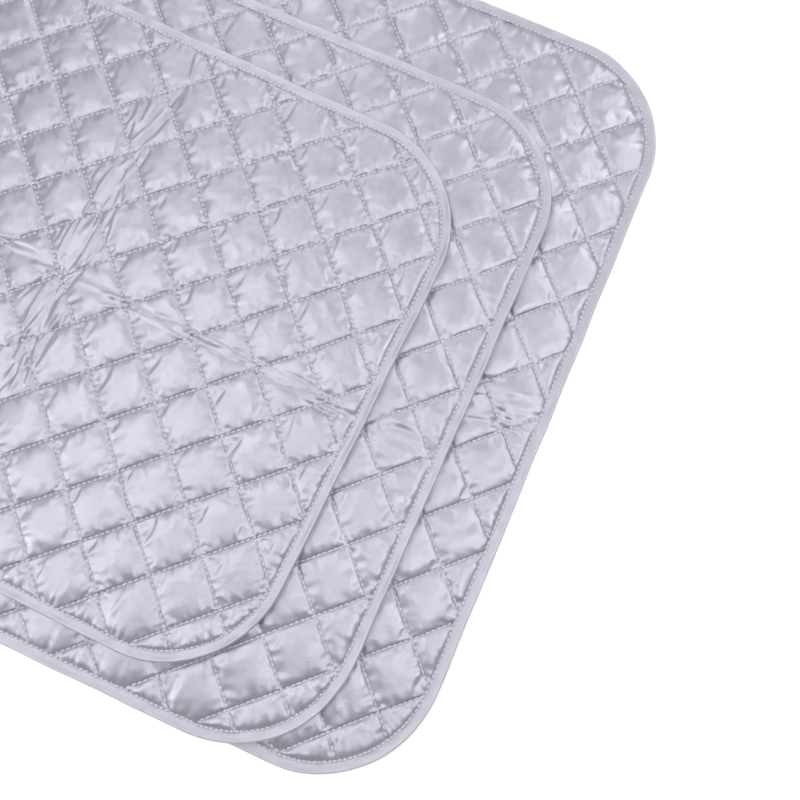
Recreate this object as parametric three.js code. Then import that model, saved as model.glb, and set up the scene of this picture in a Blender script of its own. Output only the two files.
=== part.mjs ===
// Set of three quilted ironing pads, stacked with the largest at the bottom.
// Units are millimetres and +Z is up. +X runs along the pads towards their stepped front ends.
import * as THREE from 'three';

// Outline of each pad.
const SMALL_LENGTH = 470;
const SMALL_WIDTH = 400;
const SMALL_CORNER = 82;
const MEDIUM_LENGTH = 530;
const MEDIUM_WIDTH = 480;
const MEDIUM_CORNER = 82;
const LARGE_LENGTH = 600;
const LARGE_WIDTH = 550;
const LARGE_CORNER = 82;
const CORNER_STEPS = 6;

// How each pad lies on the one below it: front edge set back, centre line set over, turn in degrees.
const MEDIUM_SET_BACK = 55.2;
const MEDIUM_SET_OVER = -38.7;
const MEDIUM_TURN = -0.5;
const SMALL_SET_BACK = 58.8;
const SMALL_SET_OVER = -14.4;
const SMALL_TURN = -1.6;

// Quilting: side of one stitched square, direction of the stitch lines, height of one pillow.
const QUILT_SIDE = 35.6;
const QUILT_ANGLE = 45;
const PILLOW_RISE = 2.8;
const LEAST_PILLOW = 0.3;

// One stitch crossing on each pad, behind its front edge and left of its centre line, and the skew in degrees.
const SMALL_CROSSING_BACK = 334.3;
const SMALL_CROSSING_LEFT = 152.6;
const SMALL_SKEW = 0.15;
const MEDIUM_CROSSING_BACK = 59.1;
const MEDIUM_CROSSING_LEFT = 135.7;
const MEDIUM_SKEW = -0.56;
const LARGE_CROSSING_BACK = 123;
const LARGE_CROSSING_LEFT = 235.5;
const LARGE_SKEW = -1.05;

// Layers of one pad.
const CLOTH_THICKNESS = 0.4;
const EDGE_WADDING = 1.0;
const LAYER_GAP = 0.3;

// Folded tape round the edge, and the thread that holds it.
const TAPE_THICKNESS = 0.5;
const TAPE_WIDTH = 9;
const TAPE_FOLD = 1.6;
const TAPE_SHOULDER = 0.56;
const SEAM_INSET = 1.6;
const THREAD_WIDTH = 0.8;
const THREAD_HEIGHT = 0.4;

// The backing drops from the tape to the surface it lies on over this width.
const BACK_SLOPE = 3;

// Heights within one pad, from the surface it lies on.
const BACK_EDGE_UNDER = TAPE_THICKNESS + LAYER_GAP;
const BACK_EDGE_TOP = BACK_EDGE_UNDER + CLOTH_THICKNESS;
const WADDING_UNDER = CLOTH_THICKNESS + LAYER_GAP;
const WADDING_EDGE_UNDER = BACK_EDGE_TOP + LAYER_GAP;
const WADDING_SEAM = WADDING_EDGE_UNDER + EDGE_WADDING;
const COVER_UNDER = WADDING_SEAM + LAYER_GAP;
const COVER_SEAM = COVER_UNDER + CLOTH_THICKNESS;
const TAPE_UPPER_UNDER = COVER_SEAM + LAYER_GAP;
const TAPE_TOP = TAPE_UPPER_UNDER + TAPE_THICKNESS;
const PAD_TOP = COVER_SEAM + PILLOW_RISE;
const PAD_PITCH = PAD_TOP + LAYER_GAP;

// Distances inwards from a pad's outer edge.
const LAYER_INSET = TAPE_THICKNESS + TAPE_FOLD + LAYER_GAP;
const QUILT_INSET = TAPE_WIDTH + LAYER_GAP;
const BACK_FLAT_INSET = QUILT_INSET + BACK_SLOPE;

const SILVER_CLOTH = { color: 0xc7c4d3, roughness: 0.45, metalness: 0.2 };
const WHITE_WADDING = { color: 0xf1efea, roughness: 0.95, metalness: 0 };
const BACKING_CLOTH = { color: 0xd4d2da, roughness: 0.8, metalness: 0 };
const SILVER_TAPE = { color: 0xc4c1d0, roughness: 0.5, metalness: 0.15 };
const PALE_THREAD = { color: 0xdddbe4, roughness: 0.6, metalness: 0 };

const SMALL = {
  name: 'small',
  length: SMALL_LENGTH,
  width: SMALL_WIDTH,
  corner: SMALL_CORNER,
  crossingBack: SMALL_CROSSING_BACK,
  crossingLeft: SMALL_CROSSING_LEFT,
  skew: SMALL_SKEW,
};
const MEDIUM = {
  name: 'medium',
  length: MEDIUM_LENGTH,
  width: MEDIUM_WIDTH,
  corner: MEDIUM_CORNER,
  crossingBack: MEDIUM_CROSSING_BACK,
  crossingLeft: MEDIUM_CROSSING_LEFT,
  skew: MEDIUM_SKEW,
};
const LARGE = {
  name: 'large',
  length: LARGE_LENGTH,
  width: LARGE_WIDTH,
  corner: LARGE_CORNER,
  crossingBack: LARGE_CROSSING_BACK,
  crossingLeft: LARGE_CROSSING_LEFT,
  skew: LARGE_SKEW,
};

// Points of a pad's rounded outline, counter-clockwise, moved inwards by inset.
function outline(pad, inset) {
  const points = [];
  const radius = pad.corner - inset;
  for (let quarter = 0; quarter < 4; quarter += 1) {
    const signX = quarter === 0 || quarter === 3 ? 1 : -1;
    const signY = quarter < 2 ? 1 : -1;
    const centreX = signX * (pad.length / 2 - pad.corner);
    const centreY = signY * (pad.width / 2 - pad.corner);
    for (let step = 0; step <= CORNER_STEPS; step += 1) {
      const angle = (quarter + step / CORNER_STEPS) * Math.PI / 2;
      const x = centreX + radius * Math.cos(angle);
      const y = centreY + radius * Math.sin(angle);
      points.push(new THREE.Vector2(x, y));
    }
  }
  return points;
}

function loopAt(pad, inset, height) {
  return outline(pad, inset).map((point) => new THREE.Vector3(point.x, point.y, height));
}

function geometryOf(triangles) {
  const geometry = new THREE.BufferGeometry().setFromPoints(triangles);
  geometry.computeVertexNormals();
  return geometry;
}

// Wall of triangles between two loops with the same number of points.
function addWall(triangles, first, second) {
  first.forEach((point, index) => {
    const next = (index + 1) % first.length;
    triangles.push(point, first[next], second[next]);
    triangles.push(point, second[next], second[index]);
  });
}

// Flat lid over a convex loop, facing up.
function addLid(triangles, loop) {
  for (let index = 1; index < loop.length - 1; index += 1) {
    triangles.push(loop[0], loop[index], loop[index + 1]);
  }
}

// Ring swept round a pad's edge from a profile of [inset, height] points, counter-clockwise with the
// inset to the right and the height upwards.
function sweptRing(pad, profile) {
  const triangles = [];
  const loops = profile.map(([inset, height]) => loopAt(pad, inset, height));
  loops.forEach((loop, index) => addWall(triangles, loops[(index + 1) % loops.length], loop));
  return geometryOf(triangles);
}

function cross(a, b, point) {
  return (b.x - a.x) * (point.y - a.y) - (b.y - a.y) * (point.x - a.x);
}

// Part of a convex polygon on the left of the line from a to b.
function keepLeft(polygon, a, b) {
  const kept = [];
  polygon.forEach((point, index) => {
    const next = polygon[(index + 1) % polygon.length];
    const here = cross(a, b, point);
    const there = cross(a, b, next);
    if (here >= 0) {
      kept.push(point);
    }
    if (here * there < 0) {
      kept.push(point.clone().lerp(next, here / (here - there)));
    }
  });
  return kept;
}

function clipTo(border, polygon) {
  let kept = polygon;
  border.forEach((point, index) => {
    if (kept.length > 0) {
      kept = keepLeft(kept, point, border[(index + 1) % border.length]);
    }
  });
  return kept;
}

// Rounds points so that neighbouring squares share them, and drops repeats.
function settle(polygon) {
  const grid = 1e4;
  const rounded = polygon.map((point) => {
    const x = Math.round(point.x * grid) / grid;
    const y = Math.round(point.y * grid) / grid;
    return new THREE.Vector2(x, y);
  });
  return rounded.filter((point, index) => {
    const before = rounded[(index + rounded.length - 1) % rounded.length];
    return !point.equals(before);
  });
}

function centroid(polygon) {
  const middle = new THREE.Vector2();
  let total = 0;
  for (let index = 1; index < polygon.length - 1; index += 1) {
    const area = cross(polygon[0], polygon[index], polygon[index + 1]);
    const third = polygon[0].clone().add(polygon[index]).add(polygon[index + 1]).divideScalar(3);
    middle.addScaledVector(third, area);
    total += area;
  }
  return middle.divideScalar(total);
}

// Distance from a point inside a polygon to its nearest side.
function reach(polygon, point) {
  const distances = polygon.map((corner, index) => {
    const next = polygon[(index + 1) % polygon.length];
    return cross(corner, next, point) / corner.distanceTo(next);
  });
  return Math.min(...distances);
}

// The stitched squares of a pad, cut by the inner edge of its tape. Each has its outline, the place of
// its crown and how full it is, from 0 for a flat offcut to 1 for a whole square.
function quiltSquares(pad) {
  const border = outline(pad, QUILT_INSET);
  const angle = THREE.MathUtils.degToRad(QUILT_ANGLE + pad.skew);
  const along = new THREE.Vector2(Math.cos(angle), Math.sin(angle)).multiplyScalar(QUILT_SIDE);
  const across = new THREE.Vector2(-along.y, along.x);
  const crossing = new THREE.Vector2(pad.length / 2 - pad.crossingBack, pad.crossingLeft);
  const count = Math.ceil((pad.length + pad.width) / QUILT_SIDE);
  const squares = [];
  for (let i = -count; i < count; i += 1) {
    for (let j = -count; j < count; j += 1) {
      const corner = (u, v) => crossing.clone().addScaledVector(along, i + u).addScaledVector(across, j + v);
      const whole = [corner(0, 0), corner(1, 0), corner(1, 1), corner(0, 1)];
      const polygon = settle(clipTo(border, whole));
      if (polygon.length > 2) {
        const crown = centroid(polygon);
        const fullness = Math.min(1, reach(polygon, crown) / (QUILT_SIDE / 2));
        squares.push({ polygon, crown, fullness: fullness < LEAST_PILLOW ? 0 : fullness });
      }
    }
  }
  return squares;
}

function turnAbout(point) {
  return Math.atan2(point.y, point.x);
}

// Points of the quilting that lie on the inner edge of the tape, in order round the pad.
function quiltBorder(pad, squares) {
  const border = outline(pad, QUILT_INSET);
  const touching = 0.003;
  const found = new Map();
  squares.forEach(({ polygon }) => {
    polygon.forEach((point) => {
      if (reach(border, point) < touching) {
        found.set(`${point.x} ${point.y}`, point);
      }
    });
  });
  return [...found.values()].sort((a, b) => turnAbout(a) - turnAbout(b));
}

// Flat strip between the quilting and the edge of a layer.
function addMargin(triangles, inner, outer) {
  const sorted = [...outer].sort((a, b) => turnAbout(a) - turnAbout(b));
  let i = 0;
  let j = 0;
  while (i < inner.length || j < sorted.length) {
    const a = inner[i % inner.length];
    const b = sorted[j % sorted.length];
    const nextA = inner[(i + 1) % inner.length];
    const nextB = sorted[(j + 1) % sorted.length];
    const turnA = turnAbout(nextA) + 2 * Math.PI * Math.floor((i + 1) / inner.length);
    const turnB = turnAbout(nextB) + 2 * Math.PI * Math.floor((j + 1) / sorted.length);
    if (j === sorted.length || (i < inner.length && turnA <= turnB)) {
      triangles.push(a, b, nextA);
      i += 1;
    } else {
      triangles.push(a, b, nextB);
      j += 1;
    }
  }
}

// Quilted surface of a pad with its stitch lines at one height and a pillow in each square.
function quiltedSurface(pad, seamHeight) {
  const triangles = [];
  const lift = (point, height) => new THREE.Vector3(point.x, point.y, height);
  const squares = quiltSquares(pad);
  squares.forEach(({ polygon, crown, fullness }) => {
    const corners = polygon.map((point) => lift(point, seamHeight));
    if (fullness === 0) {
      addLid(triangles, corners);
    } else {
      const top = lift(crown, seamHeight + PILLOW_RISE * fullness);
      corners.forEach((corner, index) => {
        triangles.push(corner, corners[(index + 1) % corners.length], top);
      });
    }
  });
  const inner = quiltBorder(pad, squares).map((point) => lift(point, seamHeight));
  addMargin(triangles, inner, loopAt(pad, LAYER_INSET, seamHeight));
  return triangles;
}

function flipped(triangles) {
  const turned = [];
  for (let index = 0; index < triangles.length; index += 3) {
    turned.push(triangles[index], triangles[index + 2], triangles[index + 1]);
  }
  return turned;
}

// Coated face cloth, drawn down along the stitch lines.
function faceCover(pad) {
  const triangles = quiltedSurface(pad, COVER_SEAM);
  triangles.push(...flipped(quiltedSurface(pad, COVER_UNDER)));
  addWall(triangles, loopAt(pad, LAYER_INSET, COVER_UNDER), loopAt(pad, LAYER_INSET, COVER_SEAM));
  return geometryOf(triangles);
}

// Flat surface, facing up, that is lifted over the tape at its edge.
function dishedSurface(pad, edgeHeight, flatHeight) {
  const triangles = [];
  const edge = loopAt(pad, LAYER_INSET, edgeHeight);
  const bend = loopAt(pad, QUILT_INSET, edgeHeight);
  const flat = loopAt(pad, BACK_FLAT_INSET, flatHeight);
  addWall(triangles, edge, bend);
  addWall(triangles, bend, flat);
  addLid(triangles, flat);
  return triangles;
}

// Wadding that fills the pillows.
function wadding(pad) {
  const triangles = quiltedSurface(pad, WADDING_SEAM);
  const under = loopAt(pad, LAYER_INSET, WADDING_EDGE_UNDER);
  addWall(triangles, under, loopAt(pad, LAYER_INSET, WADDING_SEAM));
  triangles.push(...flipped(dishedSurface(pad, WADDING_EDGE_UNDER, WADDING_UNDER)));
  return geometryOf(triangles);
}

// Plain cloth on the back, flat where the pad lies on a surface.
function backing(pad) {
  const triangles = dishedSurface(pad, BACK_EDGE_TOP, CLOTH_THICKNESS);
  triangles.push(...flipped(dishedSurface(pad, BACK_EDGE_UNDER, 0)));
  addWall(triangles, loopAt(pad, LAYER_INSET, BACK_EDGE_UNDER), loopAt(pad, LAYER_INSET, BACK_EDGE_TOP));
  return geometryOf(triangles);
}

// Tape folded round the edge of all three layers.
function edgeBinding(pad) {
  const middle = TAPE_TOP / 2;
  const profile = [
    [TAPE_WIDTH, 0],
    [TAPE_WIDTH, TAPE_THICKNESS],
    [TAPE_THICKNESS + TAPE_FOLD, TAPE_THICKNESS],
    [TAPE_THICKNESS + TAPE_SHOULDER, middle],
    [TAPE_THICKNESS + TAPE_FOLD, TAPE_UPPER_UNDER],
    [TAPE_WIDTH, TAPE_UPPER_UNDER],
    [TAPE_WIDTH, TAPE_TOP],
    [TAPE_FOLD, TAPE_TOP],
    [TAPE_SHOULDER, TAPE_TOP - TAPE_SHOULDER],
    [0, middle],
    [TAPE_SHOULDER, TAPE_SHOULDER],
    [TAPE_FOLD, 0],
  ];
  return sweptRing(pad, profile);
}

// Line of stitching that holds the tape, laid along its upper face.
function bindingThread(pad) {
  const outer = TAPE_WIDTH - SEAM_INSET;
  const inner = outer + THREAD_WIDTH;
  const profile = [
    [outer, TAPE_TOP],
    [inner, TAPE_TOP],
    [inner, TAPE_TOP + THREAD_HEIGHT],
    [outer, TAPE_TOP + THREAD_HEIGHT],
  ];
  return sweptRing(pad, profile);
}

function addPiece(group, name, geometry, look) {
  const mesh = new THREE.Mesh(geometry, new THREE.MeshStandardMaterial(look));
  mesh.name = name;
  group.add(mesh);
}

function buildPad(pad) {
  const group = new THREE.Group();
  group.name = `${pad.name}_pad`;
  addPiece(group, `${pad.name}_face_cover`, faceCover(pad), SILVER_CLOTH);
  addPiece(group, `${pad.name}_wadding`, wadding(pad), WHITE_WADDING);
  addPiece(group, `${pad.name}_backing`, backing(pad), BACKING_CLOTH);
  addPiece(group, `${pad.name}_edge_binding`, edgeBinding(pad), SILVER_TAPE);
  addPiece(group, `${pad.name}_binding_thread`, bindingThread(pad), PALE_THREAD);
  return group;
}

// Lays a pad with the middle of its front edge at a point, turned about that point.
function lay(group, pad, frontX, frontY, turn, level) {
  const angle = THREE.MathUtils.degToRad(turn);
  const x = frontX - Math.cos(angle) * pad.length / 2;
  const y = frontY - Math.sin(angle) * pad.length / 2;
  group.position.set(x, y, level * PAD_PITCH);
  group.rotation.z = angle;
}

const set = new THREE.Group();
set.name = 'ironing_pad_set';

const large = buildPad(LARGE);
const medium = buildPad(MEDIUM);
const small = buildPad(SMALL);
const mediumFrontX = LARGE_LENGTH / 2 - MEDIUM_SET_BACK;
const smallFrontX = mediumFrontX - SMALL_SET_BACK;
const smallFrontY = MEDIUM_SET_OVER + SMALL_SET_OVER;
lay(large, LARGE, LARGE_LENGTH / 2, 0, 0, 0);
lay(medium, MEDIUM, mediumFrontX, MEDIUM_SET_OVER, MEDIUM_TURN, 1);
lay(small, SMALL, smallFrontX, smallFrontY, MEDIUM_TURN + SMALL_TURN, 2);
set.add(large, medium, small);

// The origin is the middle of the whole stack's footprint.
set.updateMatrixWorld(true);
const footprint = new THREE.Box3().setFromObject(set, true).getCenter(new THREE.Vector3());
set.children.forEach((pad) => {
  pad.position.x -= footprint.x;
  pad.position.y -= footprint.y;
});

export default set;
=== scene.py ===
"""Dresses a stack of three quilted ironing pads: cloth, tape, stitches, light and camera.

Lengths are in metres. A pad's own axes are x along it towards its front edge, y across it to
the left and z up from the surface that it lies on, with the origin in the middle of its outline.
"""

import math
from dataclasses import dataclass

import bpy
import numpy as np
from mathutils import Euler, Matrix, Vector


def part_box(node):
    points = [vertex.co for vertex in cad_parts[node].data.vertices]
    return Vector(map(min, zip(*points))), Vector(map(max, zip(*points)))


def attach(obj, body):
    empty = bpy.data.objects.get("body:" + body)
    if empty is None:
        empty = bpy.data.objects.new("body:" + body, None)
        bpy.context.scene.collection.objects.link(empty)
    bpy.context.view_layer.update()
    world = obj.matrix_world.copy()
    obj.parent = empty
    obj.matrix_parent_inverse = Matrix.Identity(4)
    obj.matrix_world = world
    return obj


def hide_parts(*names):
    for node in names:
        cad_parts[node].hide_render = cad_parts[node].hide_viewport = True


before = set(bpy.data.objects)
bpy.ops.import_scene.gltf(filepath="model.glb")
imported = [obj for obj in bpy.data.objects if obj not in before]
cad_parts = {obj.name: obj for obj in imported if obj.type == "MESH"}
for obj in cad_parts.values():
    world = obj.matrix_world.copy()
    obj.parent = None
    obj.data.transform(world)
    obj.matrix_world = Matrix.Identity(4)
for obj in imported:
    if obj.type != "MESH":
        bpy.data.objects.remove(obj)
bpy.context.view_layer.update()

bl_info = {
    "name": "Quilted ironing pads",
    "version": (1, 0, 0),
    "blender": (4, 5, 0),
    "location": "3D View > Sidebar > Ironing pads",
    "description": "Sews three quilted pads round their solids",
    "category": "Add Mesh",
}

# Points along one square of the backing and of the cloth swatch, and squares along the swatch.
BACK_PER_SQUARE = 6
SWATCH_POINTS = 24
SWATCH_SQUARES = 6
# Frames in which the swatch fills, and the seed of its first roughness.
SWATCH_FRAMES = 20
CLOTH_SEED = 3
# Seed of the lowest pad and the step to the next, and what each random draw adds to its pad's seed.
FIRST_SEED = 11
SEED_STEP = 10
DRAWS = {
    "pillows": 0, "pleats": 20, "coarse_facets": 21, "fine_facets": 22, "pleat_reach": 23,
    "bulge": 24, "tucks": 25, "puff_patches": 26, "gathers": 27, "tape_wander": 30,
    "tape_gathers": 31, "tape_twist": 32, "drift_x": 40, "drift_y": 50, "ripple": 60, "folds": 70,
    "row_starts": 80, "stitch_turns": 85, "stitch_sizes": 90, "tape_stitch_turns": 95,
}
# Cells after which random grids and lists of rows repeat.
CELLS = 128
# Length of one binding stitch with its gap, how far the tape reaches past the stitch row, and the
# most that it strays from its line.
TAPE_STITCH = 0.0036
TAPE_LIP = 0.0008
TAPE_STRAY = 0.0004
# Height of the padding's flat underside, and thickness of the backing.
PADDING_FLOOR = 0.0014
BACKING_THICKNESS = 0.0003
# Pattern sizes in millimetres: threads of the cloth, strands of the sewing thread, dents in the coating.
WEAVE_MM = 1.4
STRAND_MM = 0.3927
CRUSH_MM = 5.0
# Sockets of a Mix node that mixes colours: its two colours and its result.
COLOUR_A, COLOUR_B, MIXED = 6, 7, 2
# Softboxes: their side, the point that they face, and the place and power in watts of each.
SOFTBOX_SIDE = 0.5
SOFTBOX_TARGET = (0.1, -0.05, 0)
SOFTBOXES = (
    ("over", (-0.35, 0.1, 1.4), 3.0),
    ("left", (-0.8, 0.3, 1.3), 1.2),
    ("over_front", (0.5, -0.3, 1.4), 3.3),
    ("front_left", (-0.5, -0.5, 1.2), 2.5),
    ("right", (0.9, 0.2, 1.1), 3.3),
    ("back_right", (0.6, 0.95, 1.1), 4.1),
    ("far_left", (-1, -0.9, 0.9), 4.6),
    ("back_left", (-0.5, 1.1, 0.9), 3.0),
)
# Light of the room as a share of white, half the floor's side, and the floor's gap under the pads.
ROOM_LIGHT = 0.12
FLOOR_HALF = 4.0
FLOOR_GAP = 0.0004
# Camera as fitted to the stitch crossings of the photograph: its place from the middle of the large
# pad, its turn in degrees, and its lens and frame in millimetres.
CAMERA_PLACE = (0.23381, -0.11099, 0.54417)
CAMERA_TURN = (9.506, -0.315, 23.585)
CAMERA_LENS = 36
CAMERA_FRAME = 36


def linear(code):
    """Turns an sRGB hex code into linear red, green, blue and alpha."""
    srgb = np.array([int(code[k:k + 2], 16) for k in (0, 2, 4)]) / 255
    low, high = srgb / 12.92, ((srgb + 0.055) / 1.055) ** 2.4
    return (*np.where(srgb <= 0.04045, low, high).tolist(), 1.0)


def length(name, description, default):
    """A length property in metres."""
    return bpy.props.FloatProperty(
        name=name, description=description, default=default, min=0, unit="LENGTH", precision=5
    )


def pair(name, description, default):
    """Two lengths in metres."""
    return bpy.props.FloatVectorProperty(
        name=name, description=description, default=default, size=2, unit="LENGTH", precision=5
    )


def angle(name, description, degrees):
    """An angle property, given in degrees."""
    return bpy.props.FloatProperty(
        name=name, description=description, default=math.radians(degrees), subtype="ANGLE"
    )


def colour(name, description, code):
    """A colour property from an sRGB hex code."""
    return bpy.props.FloatVectorProperty(
        name=name, description=description, default=linear(code), size=4, min=0, max=1,
        subtype="COLOR",
    )


class PadSetSizes(bpy.types.PropertyGroup):
    """Sizes of the pads, of their layers and of the stitching."""

    small_size: pair("Small pad", "Length and width of the small pad", (0.470, 0.400))
    small_crossing: pair("Small crossing", "One stitch crossing of the small pad", (-0.0993, 0.1526))
    small_skew: angle("Small skew", "Turn of the small pad's quilting past 45 degrees", 0.15)
    small_turn: angle("Small turn", "Turn of the small pad on the stack", -2.1)
    medium_size: pair("Medium pad", "Length and width of the medium pad", (0.530, 0.480))
    medium_crossing: pair("Medium crossing", "One stitch crossing of the medium pad", (0.2059, 0.1357))
    medium_skew: angle("Medium skew", "Turn of the medium pad's quilting past 45 degrees", -0.56)
    medium_turn: angle("Medium turn", "Turn of the medium pad on the stack", -0.5)
    large_size: pair("Large pad", "Length and width of the large pad", (0.600, 0.550))
    large_crossing: pair("Large crossing", "One stitch crossing of the large pad", (0.177, 0.2355))
    large_skew: angle("Large skew", "Turn of the large pad's quilting past 45 degrees", -1.05)
    large_turn: angle("Large turn", "Turn of the large pad on the stack", 0)
    corner: length("Corner radius", "Radius of every corner", 0.082)
    quilt_side: length("Quilting square", "Side of one stitched square", 0.0356)
    seam_height: length("Seam height", "Height of the face along its stitch lines", 0.0030)
    pillow_rise: length("Pillow rise", "Most that a pillow stands over its seams", 0.0032)
    tape_width: length("Tape width", "Width of the binding tape on each face", 0.0081)
    tape_height: length("Tape height", "Height of the bound edge", 0.0045)
    tape_thickness: length("Tape thickness", "Thickness of the folded tape", 0.0005)
    stitch_pitch: length("Stitch pitch", "Length of one quilting stitch and its gap", 0.0038)
    stitch_length: length("Stitch length", "Length of thread that shows in one stitch", 0.0033)
    thread_width: length("Thread width", "Width of one stitch", 0.0013)


class PadSetColours(bpy.types.PropertyGroup):
    """Colours of the cloth, the thread and the stage."""

    face: colour("Face cloth", "Silver coating of the quilted face", "CCC9D8")
    face_shade: colour("Face cloth shade", "Duller patches of the coating", "C2BFCF")
    # Painted shade: darker colour mixed into the seam grooves and needle holes of face and tape.
    painted_seam_shade: colour("Worn face cloth", "Coating rubbed dull at the needle holes", "9C99A8")
    tape: colour("Tape", "Binding tape", "CAC7D5")
    tape_shade: colour("Tape shade", "Duller patches of the tape", "C5C2D0")
    # Painted highlight: pale colour mixed along the crest of the tape's roll.
    painted_rim_highlight: colour("Tape rim", "Coating stretched pale round the pad's rim", "F2F0F8")
    back: colour("Backing", "Cloth of the underside", "D4D2DA")
    back_shade: colour("Backing shade", "Hollows of the backing's weave", "C3C1CB")
    thread: colour("Thread", "Quilting and binding thread", "ECEAF2")
    # Painted shade in the hollows between the thread's strands.
    thread_painted_shade: colour("Thread shade", "Hollows between the thread's strands", "D8D5E0")
    floor: colour("Floor", "Studio paper", "F4F4F4")


# The pads


@dataclass(frozen=True)
class Fold:
    """An old fold and the crumples along it.

    It has a point on its line, its direction, and how far it runs before and after the point.
    The crumples have a strength, a spread to both sides, a lean off the line in degrees, a longest
    half length and an average spacing.
    """

    start: tuple
    degrees: float
    before: float
    after: float
    strength: float
    spread: float
    lean: float
    reach: float
    spacing: float


@dataclass(frozen=True)
class Pad:
    """One pad: its outline, its quilting, its place in the stack and how it was folded."""

    name: str
    length: float
    width: float
    corner: float
    crossing: tuple
    quilt_angle: float
    side: float
    place: tuple
    turn: float
    seed: int
    per_square: int
    fullness: float
    tucked: float
    crinkle: float
    folds: tuple

    @property
    def body(self):
        """Name of the body that the pad's pieces ride on."""
        return f"{self.name}_pad"

    def draws(self, kind):
        """Random numbers of one kind."""
        return np.random.default_rng(self.seed + DRAWS[kind])

    def noise(self, kind, xy, grain):
        """Smooth random heights of one kind, from -1 to 1.

        They are random values on a grid of the given grain, eased from one to the next.
        """
        table = self.draws(kind).uniform(-1, 1, (CELLS, CELLS))
        p = np.asarray(xy) / grain
        cell = np.floor(p).astype(int)
        f = eased(p - cell)
        i, j = cell[..., 0] % CELLS, cell[..., 1] % CELLS
        k, m = (i + 1) % CELLS, (j + 1) % CELLS
        low = table[i, j] * (1 - f[..., 0]) + table[k, j] * f[..., 0]
        high = table[i, m] * (1 - f[..., 0]) + table[k, m] * f[..., 0]
        return low * (1 - f[..., 1]) + high * f[..., 1]


# For each pad: points along one square of its face, fullness of the pillows, share of squares with
# a tuck, height of the facets, and the folds.
QUILTING = {
    "large": {
        "per_square": 28, "fullness": 0.85, "tucked": 0.8, "crinkle": 0.0005,
        "folds": (
            Fold(start=(0.30, -0.005), degrees=180, before=0.0, after=0.30, strength=1.7,
                 spread=0.008, lean=14, reach=0.020, spacing=0.0032),
            Fold(start=(0.0, 0.0), degrees=90, before=0.25, after=0.25, strength=0.4,
                 spread=0.006, lean=9, reach=0.02, spacing=0.006),
        ),
    },
    "medium": {
        "per_square": 26, "fullness": 0.95, "tucked": 0.7, "crinkle": 0.0004,
        "folds": (
            Fold(start=(0.265, -0.009), degrees=180, before=0.0, after=0.26, strength=0.9,
                 spread=0.006, lean=12, reach=0.020, spacing=0.004),
            Fold(start=(0.265, 0.110), degrees=180, before=0.0, after=0.26, strength=0.4,
                 spread=0.004, lean=5, reach=0.022, spacing=0.008),
            Fold(start=(0.0, 0.0), degrees=90, before=0.22, after=0.22, strength=0.4,
                 spread=0.006, lean=9, reach=0.02, spacing=0.006),
        ),
    },
    "small": {
        "per_square": 38, "fullness": 1.0, "tucked": 0.95, "crinkle": 0.0004,
        "folds": (
            Fold(start=(0.0, 0.0047), degrees=0, before=0.235, after=0.235, strength=1.2,
                 spread=0.004, lean=3, reach=0.03, spacing=0.006),
            Fold(start=(0.0056, 0.0), degrees=90, before=0.2, after=0.2, strength=1.3,
                 spread=0.0075, lean=9, reach=0.024, spacing=0.0045),
        ),
    },
}


def pad_set(sizes):
    """The three pads, from the bottom up, each placed on the middle of its CAD edge binding."""
    pads = []
    for number, (name, quilting) in enumerate(QUILTING.items()):
        size = getattr(sizes, f"{name}_size")
        low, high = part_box(f"{name}_edge_binding")
        middle = (low + high) / 2
        pads.append(Pad(
            name=name, length=size[0], width=size[1], corner=sizes.corner,
            crossing=tuple(getattr(sizes, f"{name}_crossing")),
            quilt_angle=math.radians(45) + getattr(sizes, f"{name}_skew"), side=sizes.quilt_side,
            place=(middle.x, middle.y, low.z), turn=getattr(sizes, f"{name}_turn"),
            seed=FIRST_SEED + SEED_STEP * number, **quilting,
        ))
    return pads


# Curves that the surfaces share


def bell(distance, width, power=2):
    """Falls to both sides of 1 at no distance: exp(-(distance / width) ^ power)."""
    return np.exp(-np.abs(distance / width) ** power)


def falling(distance, reach):
    """Falls from 1 at no distance or less: exp(-distance / reach)."""
    return np.exp(-np.maximum(distance, 0) / reach)


def swell(distance, reach):
    """Rises from 0 to 1 at the reach and dies away: (distance / reach) exp(1 - distance / reach)."""
    return distance / reach * np.exp(1 - distance / reach)


def ramp(distance, reach):
    """Rises evenly from 0 at no distance to 1 at the reach."""
    return np.clip(distance / reach, 0, 1)


def eased(t):
    """Takes the corners off a ramp from 0 to 1: t^2 (3 - 2 t)."""
    return t * t * (3 - 2 * t)


def ridge(noise, top, rounding):
    """Ridges where noise passes zero: top - sqrt(noise^2 + rounding)."""
    return top - np.sqrt(noise ** 2 + rounding)


# Places on a pad


def turned(points, radians):
    """Turns the x and y of points about the origin."""
    c, s = math.cos(radians), math.sin(radians)
    x, y = points[..., 0], points[..., 1]
    out = np.array(points, float)
    out[..., 0], out[..., 1] = c * x - s * y, s * x + c * y
    return out


def set_down(pad, points):
    """Moves points from a pad's own axes to its place in the stack."""
    return turned(points, pad.turn) + np.array(pad.place)


def edge_distance(pad, xy):
    """Distance inwards from a pad's outline, and the outward direction of its nearest edge.

    The outline is a box with round corners: with q the distances past the corner centres, the
    distance out is the length of q where both are positive, else the larger one, less the radius.
    """
    half = np.array([pad.length, pad.width]) / 2 - pad.corner
    q = np.abs(xy) - half
    past = np.maximum(q, 0)
    reach = np.linalg.norm(past, axis=-1)
    outside = reach + np.minimum(q.max(-1), 0) - pad.corner
    axis = np.where((q[..., :1] > q[..., 1:]), [1.0, 0.0], [0.0, 1.0])
    away = np.where(reach[..., None] > 1e-9, past / np.maximum(reach, 1e-9)[..., None], axis)
    return -outside, away * np.sign(xy)


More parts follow.
